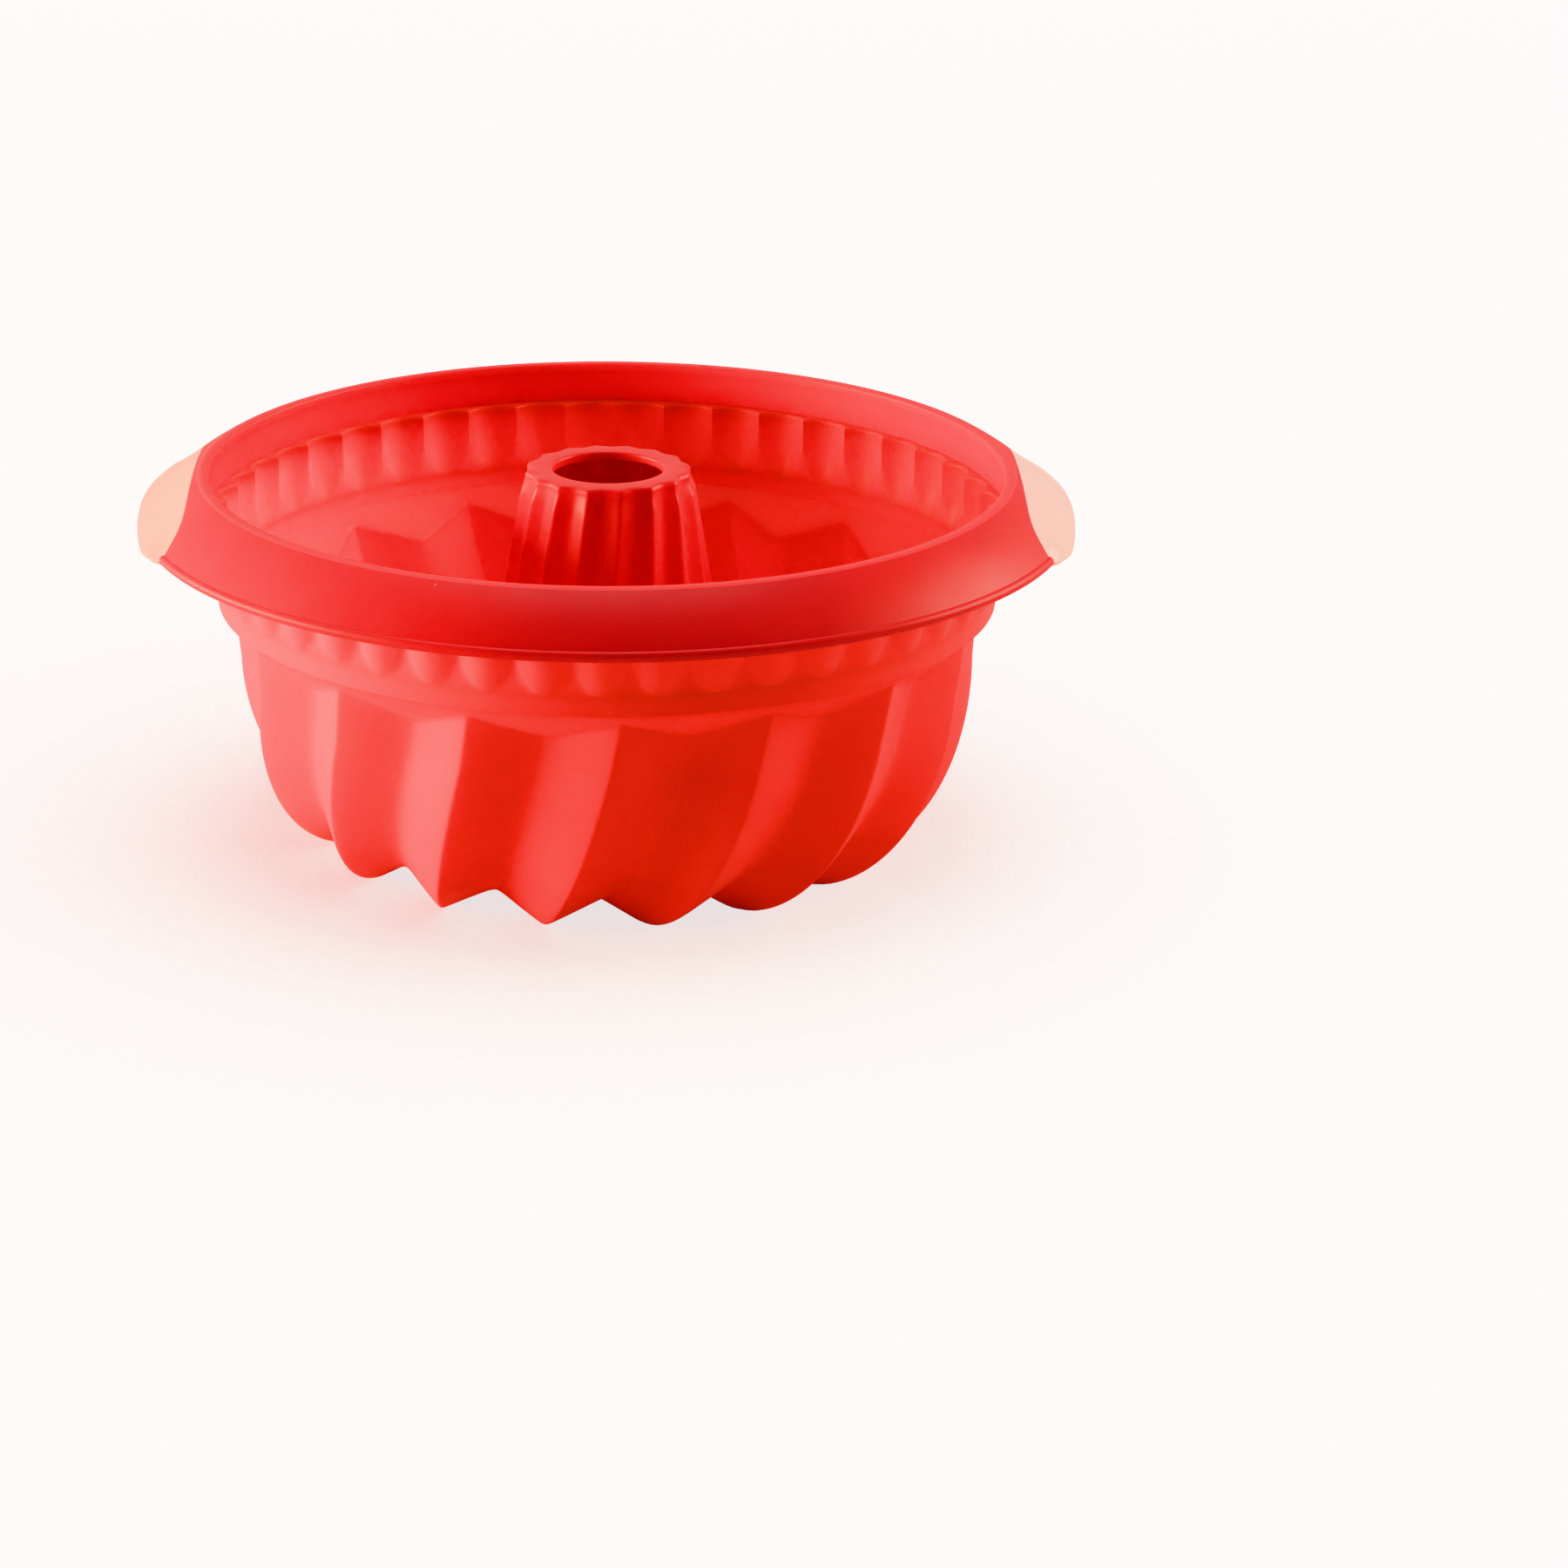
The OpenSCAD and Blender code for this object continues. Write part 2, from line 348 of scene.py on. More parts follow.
    def fold_depth(self, turn: float) -> float:
        """Returns the full depth of the folds at an angle of the ellipse, in degrees."""
        if turn <= 90:
            return mix(self.fold_wall, self.fold_floor, turn / 90)
        return mix(self.fold_floor, self.flute_foot, ease((turn - 90) / (self.keel_end - 90)))


class Zone(Enum):
    """Stretches of the lobed section, from the band's foot to the collar."""

    LEDGE = "ledge"
    CORNER = "corner"
    WALL = "wall"
    BEND = "bend"
    TUBE = "tube"


@dataclass(frozen=True)
class LobedSection:
    """Section of the ledge, the lobes and the tube at any column."""

    form: MouldForm
    corner: float = 1.5
    ridge_rate: float = 2.5
    ridge_power: float = 1.7
    fade_from: float = 0.92

    def ledge(self, share: float, inside: float, fold: float) -> tuple[float, float, float]:
        """Returns radius, depth and swirl on the ledge, share 0 at the band and 1 at the lobes."""
        form = self.form
        start = form.band_r + form.band_flare - inside
        radius = mix(start, form.keel_top_r - inside - form.fold_wall * fold, share)
        return (radius, form.ledge_depth(radius, inside), 0.0)

    def wall(self, share: float, inside: float, fold: float) -> tuple[float, float, float]:
        """Returns radius, depth and swirl on the lobes' upright wall, share 0 at its top."""
        form = self.form
        inset = inside + form.fold_wall * fold
        radius = mix(form.keel_top_r, form.keel(0)[0], share) - inset
        depth = mix(form.ledge_depth(form.keel_top_r - inset, inside), form.ellipse_d, share)
        return (radius, depth, form.swirl_start * share)

    def edge(self, share: float, inside: float, fold: float) -> tuple[float, float, float]:
        """Returns radius, depth and swirl on the rounded edge between the ledge and the wall."""
        corner = self.ledge(1, inside, fold)
        run = corner[0] - self.ledge(0, inside, fold)[0]
        before = self.ledge(1 - self.corner / abs(run), inside, fold)
        drop = self.form.ellipse_d - corner[1]
        after = self.wall(self.corner / drop, inside, fold)
        rest = 1 - share
        weights = (rest * rest, 2 * rest * share, share * share)
        places = zip(before, corner, after, strict=True)
        r, d, s = (sum(w * p for w, p in zip(weights, trio, strict=True)) for trio in places)
        return (r, d, s)

    def bend(self, turn: float, inside: float, fold: float) -> tuple[float, float, float]:
        """Returns radius, depth and swirl on the ellipses of the floor, at an angle in degrees."""
        form = self.form
        r, d = form.keel(turn)
        reach = form.outer_reach if turn <= 90 else form.inner_reach
        angle = math.radians(turn)
        normal = Vector((math.cos(angle) / reach, math.sin(angle) / form.ellipse_drop)).normalized()
        inset = inside + form.fold_depth(turn) * fold
        depth = min(d - normal.y * inset, form.rim_z)
        return (r - normal.x * inset, depth, form.swirl(turn))

    def tube(self, share: float, inside: float, fold: float) -> tuple[float, float, float]:
        """Returns radius, depth and swirl on the tube, share 0 at its foot and 1 at the collar."""
        form = self.form
        foot_r, foot_d = form.keel(form.keel_end)
        depth = mix(foot_d, form.collar_top + form.collar_t, share)
        flute = mix(form.flute_foot, form.flute_d, share)
        flute -= form.flute_fade * ease(max(0.0, (share - self.fade_from) / (1 - self.fade_from)))
        sharp = ease(min(1.0, share * self.ridge_rate))
        ridge = mix(fold, fold**self.ridge_power, sharp)
        radius = foot_r - form.tube_taper * (foot_d - depth) + inside + flute * ridge
        return (radius, depth, form.tube_swirl(depth))

    def place(self, zone: Zone, share: float, inside: float, column: float) -> Vector:
        """Gives a place on the lobed section.

        Args:
            zone: Stretch of the section.
            share: Place along the stretch, which is an angle in degrees on the bend.
            inside: Distance inside the outer face.
            column: Place around the mould, counted in lobes.

        Returns:
            The place in metres.
        """
        rules = {
            Zone.LEDGE: self.ledge,
            Zone.CORNER: self.edge,
            Zone.WALL: self.wall,
            Zone.BEND: self.bend,
            Zone.TUBE: self.tube,
        }
        form = self.form
        radius, depth, swirl = rules[zone](share, inside, form.fold_share(column))
        angle = column * 360 / form.lobes + form.lobe_phase + swirl
        return form.around(radius, depth, angle)


# ---------------------------------------------------------------- making meshes


def deselect_all() -> None:
    """Leaves nothing selected, so that an operator acts only on the new piece."""
    bpy.ops.object.select_all(action="DESELECT")


def weld_and_smooth(piece: bpy.types.Object, crease: float = CREASE) -> bpy.types.Object:
    """Merges doubled points, turns all faces outwards and smooths the shading between creases.

    Args:
        piece: The closed mesh to finish, active and selected.
        crease: Angle in radians from which an edge stays crisp.

    Returns:
        The same piece.
    """
    bpy.ops.object.mode_set(mode="EDIT")
    bpy.ops.mesh.select_all(action="SELECT")
    bpy.ops.mesh.remove_doubles(threshold=WELD)
    bpy.ops.mesh.normals_make_consistent(inside=False)
    bpy.ops.object.mode_set(mode="OBJECT")
    bpy.ops.object.shade_smooth_by_angle(angle=crease)
    return piece


def revolve(name: str, form: MouldForm, outline: Sequence[Pair], steps: int = 288) -> bpy.types.Object:
    """Spins a closed section about the mould's axis.

    Args:
        name: Name of the piece.
        form: The mould's sizes.
        outline: Radius and depth of the section's corners, in order.
        steps: Number of steps round the axis.

    Returns:
        The finished ring.
    """
    deselect_all()
    bpy.ops.mesh.primitive_circle_add(vertices=len(outline), radius=1)
    piece = bpy.context.object
    piece.name = name
    for corner, (radius, depth) in zip(piece.data.vertices, outline, strict=True):
        corner.co = form.around(radius, depth, 0)
    bpy.ops.object.mode_set(mode="EDIT")
    bpy.ops.mesh.select_all(action="SELECT")
    bpy.ops.mesh.spin(steps=steps, angle=2 * math.pi, center=(0, 0, 0), axis=(0, 0, 1))
    bpy.ops.object.mode_set(mode="OBJECT")
    return weld_and_smooth(piece)


def shaped_grid(name: str, rows: int, columns: int, place: Callable[[int, int], Vector],
                capped: bool = False, crease: float = CREASE) -> bpy.types.Object:
    """Wraps a grid round a section and along a course, by a rule for each point.

    The flutes and scallops follow formulas that no edit-mode operator makes, so the grid's points
    are put in place one by one.

    Args:
        name: Name of the piece.
        rows: Number of faces round the section, which closes on itself.
        columns: Number of faces along the course.
        place: Gives the place of a row and a column.
        capped: Whether the course's two ends are closed by a face.
        crease: Angle in radians from which an edge stays crisp.

    Returns:
        The finished closed mesh.
    """
    deselect_all()
    bpy.ops.mesh.primitive_grid_add(x_subdivisions=rows, y_subdivisions=columns, size=1)
    piece = bpy.context.object
    piece.name = name
    for point in piece.data.vertices:
        row = round((point.co.x + 0.5) * rows) % rows
        column = round((point.co.y + 0.5) * columns)
        point.co = place(row, column)
    if capped:
        bpy.ops.object.mode_set(mode="EDIT")
        bpy.ops.mesh.select_all(action="SELECT")
        bpy.ops.mesh.remove_doubles(threshold=WELD)
        bpy.ops.mesh.select_all(action="DESELECT")
        bpy.ops.mesh.select_mode(type="EDGE")
        bpy.ops.mesh.select_non_manifold()
        bpy.ops.mesh.fill_holes(sides=0)
        bpy.ops.mesh.select_mode(type="VERT")
        bpy.ops.object.mode_set(mode="OBJECT")
    return weld_and_smooth(piece, crease)


def set_in_frame(piece: bpy.types.Object, slot: str, material: bpy.types.Material,
                 *nodes: str) -> None:
    """Dresses a finished piece and lets it stand for its nodes of the frame.

    Args:
        piece: The finished piece.
        slot: Material slot of the record; not used.
        material: Material of the whole piece.
        *nodes: Frame nodes that the piece stands for.
    """
    piece.data.materials.clear()
    piece.data.materials.append(material)
    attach(piece, BODY)
    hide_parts(*nodes)
    LOG.info("%s: %d faces, %s", piece.name, len(piece.data.polygons), material.name)


# ---------------------------------------------------------------- finishes


def add_node(tree: bpy.types.NodeTree, kind: str, settings: dict[str, object] | None = None,
             **inputs: object) -> bpy.types.Node:
    """Adds a shader node with its settings, values and links.

    Args:
        tree: Node tree to add to.
        kind: Blender's name of the node type.
        settings: Properties of the node.
        **inputs: Value or output socket for an input, named with underscores for spaces, or iN for
            input number N.

    Returns:
        The new node.
    """
    node = tree.nodes.new(kind)
    for key, value in (settings or {}).items():
        setattr(node, key, value)
    for key, value in inputs.items():
        socket = node.inputs[int(key[1:]) if key[1:].isdigit() else key.replace("_", " ")]
        if isinstance(value, bpy.types.NodeSocket):
            tree.links.new(value, socket)
        else:
            socket.default_value = value
    return node


@dataclass(frozen=True)
class SiliconeFinish:
    """Platinum silicone as it leaves a steel mould.

    The colour runs slightly lighter and darker at random, light glows through it a little, and the
    tool's satin or polish sets how tight the highlights are. The skirt's and the tube's darker
    colours are painted shade, and the grips' pale ones are painted reflection.
    """

    title: str
    body: str
    thin: str
    glow: str
    roughness: float
    glow_share: float = 0.26
    grain_mm: float = 0.9
    grain_depth_mm: float = 0.012
    ripple_mm: float = 14.0
    ripple_depth_mm: float = 0.05
    mottle_mm: float = 38.0
    dust_gap_mm: float = 13.0
    dust_amount: float = 0.75
    gloss_spread: float = 0.04
    coat: float = 0.0
    coat_roughness: float = 0.08
    sheen: float = 0.05
    sheen_roughness: float = 0.45
    ior: float = 1.41
    specular: float = 0.4
    dust: str = "#F7A79C"
    dust_size: Pair = (0.012, 0.03)

    def build(self) -> bpy.types.Material:
        """Returns the material with its nodes."""
        material = bpy.data.materials.new(self.title)
        material.use_nodes = True
        tree = material.node_tree
        tree.nodes.clear()
        place = add_node(tree, "ShaderNodeTexCoord").outputs["Object"]
        colour = self._colour(tree, place)
        normal = self._relief(tree, place)
        gloss = self._gloss(tree, place)
        skin = add_node(tree, "ShaderNodeBsdfPrincipled", Base_Color=colour, Roughness=gloss,
                        IOR=self.ior, Specular_IOR_Level=self.specular, Normal=normal,
                        Coat_Weight=self.coat, Coat_Roughness=self.coat_roughness,
                        Sheen_Weight=self.sheen, Sheen_Roughness=self.sheen_roughness)
        through = add_node(tree, "ShaderNodeBsdfTranslucent", Color=linear(self.glow), Normal=normal)
        both = add_node(tree, "ShaderNodeMixShader", i0=self.glow_share, i1=skin.outputs["BSDF"],
                        i2=through.outputs["BSDF"])
        add_node(tree, "ShaderNodeOutputMaterial", Surface=both.outputs["Shader"])
        return material

    def _noise(self, tree: bpy.types.NodeTree, place: bpy.types.NodeSocket, size_mm: float,
               detail: float) -> bpy.types.NodeSocket:
        """Returns a noise whose features are about size_mm across."""
        noise = add_node(tree, "ShaderNodeTexNoise", Vector=place, Scale=1 / (size_mm * MM),
                         Detail=detail, Roughness=0.5)
        return noise.outputs["Fac"]

    def _colour(self, tree: bpy.types.NodeTree,
                place: bpy.types.NodeSocket) -> bpy.types.NodeSocket:
        """Returns the body colour, mottled a little and dotted with sparse dust."""
        cloud = self._noise(tree, place, self.mottle_mm, 3.0)
        share = add_node(tree, "ShaderNodeMapRange", i0=cloud, i1=0.35, i2=0.7)
        base = add_node(tree, "ShaderNodeMix", {"data_type": "RGBA"}, i0=share.outputs["Result"],
                        i6=linear(self.body), i7=linear(self.thin))
        cells = add_node(tree, "ShaderNodeTexVoronoi", Vector=place,
                         Scale=1 / (self.dust_gap_mm * MM))
        speck = add_node(tree, "ShaderNodeMapRange", i0=cells.outputs["Distance"],
                         i1=self.dust_size[0], i2=self.dust_size[1], i3=self.dust_amount, i4=0.0)
        dusted = add_node(tree, "ShaderNodeMix", {"data_type": "RGBA"},
                          i0=speck.outputs["Result"], i6=base.outputs[2], i7=linear(self.dust))
        return dusted.outputs[2]

    def _relief(self, tree: bpy.types.NodeTree,
                place: bpy.types.NodeSocket) -> bpy.types.NodeSocket:
        """Returns the normal with the soft flow of the wall and the grain of the tool's satin.

        The real grain is finer than a tenth of a millimetre, so it is drawn coarser to show.
        """
        flow = add_node(tree, "ShaderNodeBump", Strength=1.0, Distance=self.ripple_depth_mm * MM,
                        Height=self._noise(tree, place, self.ripple_mm, 1.0))
        grain = add_node(tree, "ShaderNodeBump", Strength=1.0, Distance=self.grain_depth_mm * MM,
                         Height=self._noise(tree, place, self.grain_mm, 2.0),
                         Normal=flow.outputs["Normal"])
        return grain.outputs["Normal"]

    def _gloss(self, tree: bpy.types.NodeTree,
               place: bpy.types.NodeSocket) -> bpy.types.NodeSocket:
        """Returns a roughness that varies a little, as handling leaves it."""
        cloud = self._noise(tree, place, self.mottle_mm / 3, 4.0)
        rough = add_node(tree, "ShaderNodeMapRange", i0=cloud, i1=0.3, i2=0.7,
                         i3=self.roughness - self.gloss_spread,
                         i4=self.roughness + self.gloss_spread)
        return rough.outputs["Result"]


class Silicone(Enum):
    """The finishes that the mould's zones take from its tool."""

    # The skirt's deep red, darker than the other zones, is painted shade; it has a broad soft
    # highlight.
    SKIRT_PAINTED_SHADE = SiliconeFinish("moulded_platinum_silicone_satin_skirt_painted_shade", "#C8181E", "#D01E22",
                           "#FF5A3C", 0.40)
    # The rim's thin edge lets more light through, so it reads brighter.
    RIM = SiliconeFinish("moulded_platinum_silicone_satin_rim", "#F62E32", "#FA3432",
                         "#FF6040", 0.40, glow_share=0.34)
    # The inner walls glow most, since light reaches them from both sides.
    WALL = SiliconeFinish("moulded_platinum_silicone_satin_wall", "#F83824", "#FC4028",
                          "#FF6C48", 0.42, glow_share=0.38)
    # The lobes are a shade deeper than the walls and glow less, so that their facets part clearly.
    LOBES = SiliconeFinish("moulded_platinum_silicone_satin_lobes", "#F03020", "#F43824",
                           "#FF6E40", 0.38, glow_share=0.3)
    # The tube stands in the bowl's shade, so its darker colour is painted shade; it is a little
    # glossier, for tight ridge lights.
    TUBE = SiliconeFinish("moulded_platinum_silicone_satin_tube_painted_shade", "#DC2224", "#E22A28",
                          "#F04030", 0.34, glow_share=0.25)
    # The grips come off polished patches of the tool and mirror the lights; their pale colours are
    # painted reflection.
    GRIP_PAINTED_REFLECTION = SiliconeFinish("moulded_platinum_silicone_polished_grip_painted_reflection", "#FFE8E2", "#FFEFEA",
                          "#FFE2D8", 0.16, glow_share=0.3, grain_depth_mm=0.002,
                          ripple_depth_mm=0.12, coat=0.4)


class FinishShelf:
    """Builds each finish once and hands it out again."""

    def __init__(self) -> None:
        """Starts with nothing built."""
        self._built: dict[Silicone, bpy.types.Material] = {}

    def get(self, finish: Silicone) -> bpy.types.Material:
        """Returns the material of a finish."""
        if finish not in self._built:
            self._built[finish] = finish.value.build()
        return self._built[finish]


# ---------------------------------------------------------------- pieces


@dataclass(frozen=True)
class Rim:
    """The rounded top edge and the plain wall inside it."""

    form: MouldForm
    shelf: FinishShelf
    edge_steps: int = 9
    roll_steps: int = 6

    def build(self) -> None:
        """Makes both rings."""
        form = self.form
        inner = [math.radians(mix(180, 270, i / self.edge_steps)) for i in range(self.edge_steps + 1)]
        shares = spread(self.roll_steps)
        outline = [(form.edge_in + form.edge_r * (1 + math.cos(a)), form.edge_r * (1 + math.sin(a)))
                   for a in inner]
        for share in shares:
            turn = math.radians(form.roll_angle * share)
            outline.append((form.crest_out + form.crest_roll * math.sin(turn),
                            form.crest_roll * (1 - math.cos(turn))))
        outline += [form.skirt_arc.point(0, form.wall), (form.edge_out, form.rim_wall_top),
                    (form.edge_in, form.rim_wall_top)]
        edge = revolve("rim_edge_skin", form, outline)
        set_in_frame(edge, "silicone_rim", self.shelf.get(Silicone.RIM), "rim_edge")
        lean = form.rim_wall_lean
        wall = revolve("inner_rim_wall_skin", form, [
            (form.edge_in, form.rim_wall_top), (form.edge_out, form.rim_wall_top),
            (form.edge_out + lean, form.scallop_top), (form.edge_in + lean, form.scallop_top)])
        set_in_frame(wall, "silicone_rim", self.shelf.get(Silicone.RIM), "inner_rim_wall")


@dataclass(frozen=True)
class Skirt:
    """The sloping skirt, the bead along its lower edge and the two grips."""

    form: MouldForm
    shelf: FinishShelf
    columns: int = 720
    rows: int = 9
    bead_r: float = 1.6
    bead_rows: int = 18
    bead_columns: int = 300
    bead_stop: float = 91.0
    bead_tip: float = 0.1
    grip_reach: float = 140.8
    grip_edge_r: float = 238.0
    grip_inner: float = 123.8
    grip_half: float = 51.0
    grip_bow: float = 5.5
    grip_bow_power: int = 10
    grip_corner: float = 5.6
    grip_corner_power: int = 14
    grip_columns: int = 120
    grip_rows: int = 12
    grip_nose_steps: int = 9
    grip_least: float = 0.2
    grip_blend: float = 11.0
    groove: float = 0.3

    def build(self) -> None:
        """Makes the skirt, the bead and the grips."""
        # The skirt's finish is darker than the walls as painted shade.
        satin = self.shelf.get(Silicone.SKIRT_PAINTED_SHADE)
        set_in_frame(self._plate(), "silicone_skirt", satin, "skirt")
        set_in_frame(self._bead(), "silicone_skirt", satin, "skirt_bead")
        # The grips' finish has pale colours that are painted reflection.
        polished = self.shelf.get(Silicone.GRIP_PAINTED_REFLECTION)
        for side, node in ((-1, "left_grip"), (1, "right_grip")):
            set_in_frame(self._grip(side, node), "silicone_grip", polished, node)

    def _border(self, y: float) -> float:
        """Returns a grip's inner border as a distance along X."""
        return self.grip_inner + self.grip_bow * abs(y / self.grip_half) ** self.grip_bow_power

    def _free_edge(self, y: float) -> float:
        """Returns a grip's free edge as a distance along X."""
        corner = self.grip_corner * abs(y / self.grip_half) ** self.grip_corner_power
        return self.grip_reach - y * y / (2 * self.grip_edge_r) - corner

    def _skirt_end(self, angle: float) -> float:
        """Gives the share of the skirt's width at which it stops.

        Args:
            angle: Degrees from -Y.

        Returns:
            1 away from the grips, and less where a grip's border cuts the skirt short.
        """
        off_axis = math.radians(abs((angle % 180) - 90))
        low, high = self.grip_inner, self.grip_inner + self.grip_bow
        if high * math.tan(off_axis) > self.grip_half:
            return 1.0
        for _ in range(BISECTIONS):
            middle = (low + high) / 2
            if middle < self._border(middle * math.tan(off_axis)):
                low = middle
            else:
                high = middle
        arc = self.form.skirt_arc
        radius = min(low / math.cos(off_axis), arc.end[0])
        return min(1.0, arc.share_at(radius))

    def _plate(self) -> bpy.types.Object:
        """Returns the skirt's plate."""
        form = self.form
        shares = spread(self.rows, 0.015)
        ends = [self._skirt_end(column * 360 / self.columns) for column in range(self.columns + 1)]
        loop = [(share, 0.0) for share in shares] + [(share, form.wall) for share in shares[::-1]]

        def place(row: int, column: int) -> Vector:
            share, under = loop[row]
            radius, depth = form.skirt_arc.point(share * ends[column], under)
            return form.around(radius, depth, column * 360 / self.columns)

        return shaped_grid("skirt_skin", len(loop), self.columns, place)

    def _bead(self) -> bpy.types.Object:
        """Returns the bead, a front and a back stretch with rounded ends."""
        form = self.form
        arc = form.skirt_arc
        top, under = arc.point(1, 0), arc.point(1, form.wall)
        middle = ((top[0] + under[0]) / 2, (top[1] + under[1]) / 2)
        face = math.atan2(top[1] - middle[1], top[0] - middle[0])
        gap = math.asin(form.wall / 2 / self.bead_r)
        out = face + math.pi / 2
        reach = self.bead_r * math.cos(gap)
        centre = (middle[0] + reach * math.cos(out), middle[1] + reach * math.sin(out))
        half = self.bead_stop - math.degrees(math.asin(self.grip_half / arc.end[0]))
        length = math.radians(2 * half) * centre[0]

        def stretch(turn: float) -> Callable[[int, int], Vector]:
            def place(row: int, column: int) -> Vector:
                along = ease(column / self.bead_columns)
                from_end = min(along, 1 - along) * length
                inset = max(0.0, self.bead_r - from_end)
                size = math.sqrt(max(self.bead_tip**2, self.bead_r**2 - inset**2))
                angle = face - math.pi / 2 + 2 * math.pi * row / self.bead_rows
                radius = centre[0] + size * math.cos(angle)
                depth = centre[1] + size * math.sin(angle)
                return form.around(radius, depth, turn + mix(-half, half, along))
            return place

        stretches = [shaped_grid(f"bead_{turn}", self.bead_rows, self.bead_columns,
                                 stretch(turn), capped=True) for turn in (0, 180)]
        deselect_all()
        for piece in stretches:
            piece.select_set(True)
        bpy.context.view_layer.objects.active = stretches[0]
        bpy.ops.object.join()
        stretches[0].name = "skirt_bead_bar"
        return stretches[0]

    def _grip(self, side: int, node: str) -> bpy.types.Object:
        """Returns one grip with a round free edge and a fine groove along its border.

        The grip is flush with the skirt at the border and eases onto its own arc away from it.

        Args:
            side: 1 for the grip at +X and -1 for the one at -X.
            node: Name of the grip's node.

        Returns:
            The finished grip.
        """
        form = self.form
        arc = form.grip_arc
        nose = form.wall / 2 * math.cos(arc.tilt + arc.half)
        shares = spread(self.grip_rows, 0.03)
        turns = [math.pi * i / self.grip_nose_steps for i in range(1, self.grip_nose_steps)]
        loop = [(share, 0.0, 0.0) for share in shares]
        loop += [(1.0, math.sin(a), form.wall / 2 * (1 - math.cos(a))) for a in turns]
        loop += [(share, 0.0, form.wall) for share in shares[::-1]]

        def place(row: int, column: int) -> Vector:
            share, bow, under = loop[row]
            y = self.grip_half * math.sin(math.pi * (column / self.grip_columns - 0.5))
            border = self._border(y)
            edge = self._free_edge(y) - nose
            x = mix(border, max(edge, border + self.grip_least), share) + nose * bow
            if share == 0 and under == 0:
                under = self.groove
            plan = math.hypot(x, y)
            near = form.skirt_arc.point(form.skirt_arc.share_at(plan), under)
            far = arc.point(arc.share_at(plan), under)
            away = ease(min(1.0, max(0.0, x - border) / self.grip_blend))
            radius, depth = (mix(a, b, away) for a, b in zip(near, far, strict=True))
            return Vector((side * radius * x / plan, radius * y / plan, form.rim_z - depth)) * MM

        return shaped_grid(f"{node}_patch", len(loop), self.grip_columns, place, capped=True)


@dataclass(frozen=True)
class Band:
    """The shelf under the rim, the scalloped band and the plain band at its foot."""

    form: MouldForm
    shelf: FinishShelf
    per_scallop: int = 16
    rows: int = 26
    plain_rows: int = 10
    lip: float = 0.9
    lip_foot: float = 0.05

    def build(self) -> None:
        """Makes the three rings."""
        satin = self.shelf.get(Silicone.WALL)
        set_in_frame(self._ledge_under_rim(), "silicone_wall", satin, "scallop_shelf")
        form = self.form
        top = form.scallop_top + form.wall
        pockets = self._ring("scalloped_band_skin", [
            (mix(top, form.scallop_end, s), mix(top, form.scallop_end, s))
            for s in spread(self.rows, 0.01)])
        set_in_frame(pockets, "silicone_wall", satin, "scalloped_band")
        foot_r = form.band_r + form.band_flare
        foot_out = form.ledge_depth(foot_r, 0)
        foot_in = form.ledge_depth(foot_r - form.skin, form.skin)
        plain = self._ring("smooth_band_skin", [
            (mix(form.scallop_end, foot_out, s), mix(form.scallop_end, foot_in, s))
            for s in spread(self.plain_rows)])
        set_in_frame(plain, "silicone_wall", satin, "smooth_band")

    def _ring(self, name: str, depths: Sequence[Pair]) -> bpy.types.Object:
        """Makes a ring of the band between its outer and inner faces.

        Args:
            name: Name of the piece.
            depths: Depth on the outer and on the inner face, from the top down.

        Returns:
            The finished ring.
        """
        form = self.form
        loop = [(outer, 0.0) for outer, _ in depths] + [(inner, 1.0) for _, inner in depths[::-1]]
        columns = form.scallops * self.per_scallop

        def place(row: int, column: int) -> Vector:
            depth, inside = loop[row]
            at = column / self.per_scallop
            foot = max(0.0, depth - form.scallop_end) / form.band_foot
            thickness = mix(form.wall, form.skin, min(1.0, foot))
            radius = form.band_radius(at, depth) + form.band_flare * foot - inside * thickness
            return form.around(radius, depth, form.scallop_angle(at))

        return shaped_grid(name, len(loop), columns, place, crease=BAND_CREASE)

    def _ledge_under_rim(self) -> bpy.types.Object:
        """Returns the flat shelf with its scalloped, rounded inner edge."""
        form = self.form
        top = form.scallop_top
        foot = top + form.wall
        outer = form.edge_out + form.rim_wall_lean
        turns = quarter()
        # Each point is a distance outside the band's inner face and a depth.
        lip = [(self.lip * (1 - math.sin(a)), top + self.lip * (1 - math.cos(a))) for a in turns]
        columns = form.scallops * self.per_scallop

        def place(row: int, column: int) -> Vector:
            at = column / self.per_scallop
            edge = form.band_radius(at, foot) - form.wall
            loop = [(outer, foot), (outer, top), (mix(outer, edge + self.lip, 0.5), top)]
            loop += [(edge + off, depth) for off, depth in lip]
            loop += [(edge, foot - self.lip_foot), (edge, foot), (mix(outer, edge, 0.5), foot)]
            radius, depth = loop[row]
            return form.around(radius, depth, form.scallop_angle(at))

        return shaped_grid("scallop_shelf_skin", len(lip) + 6, columns, place)


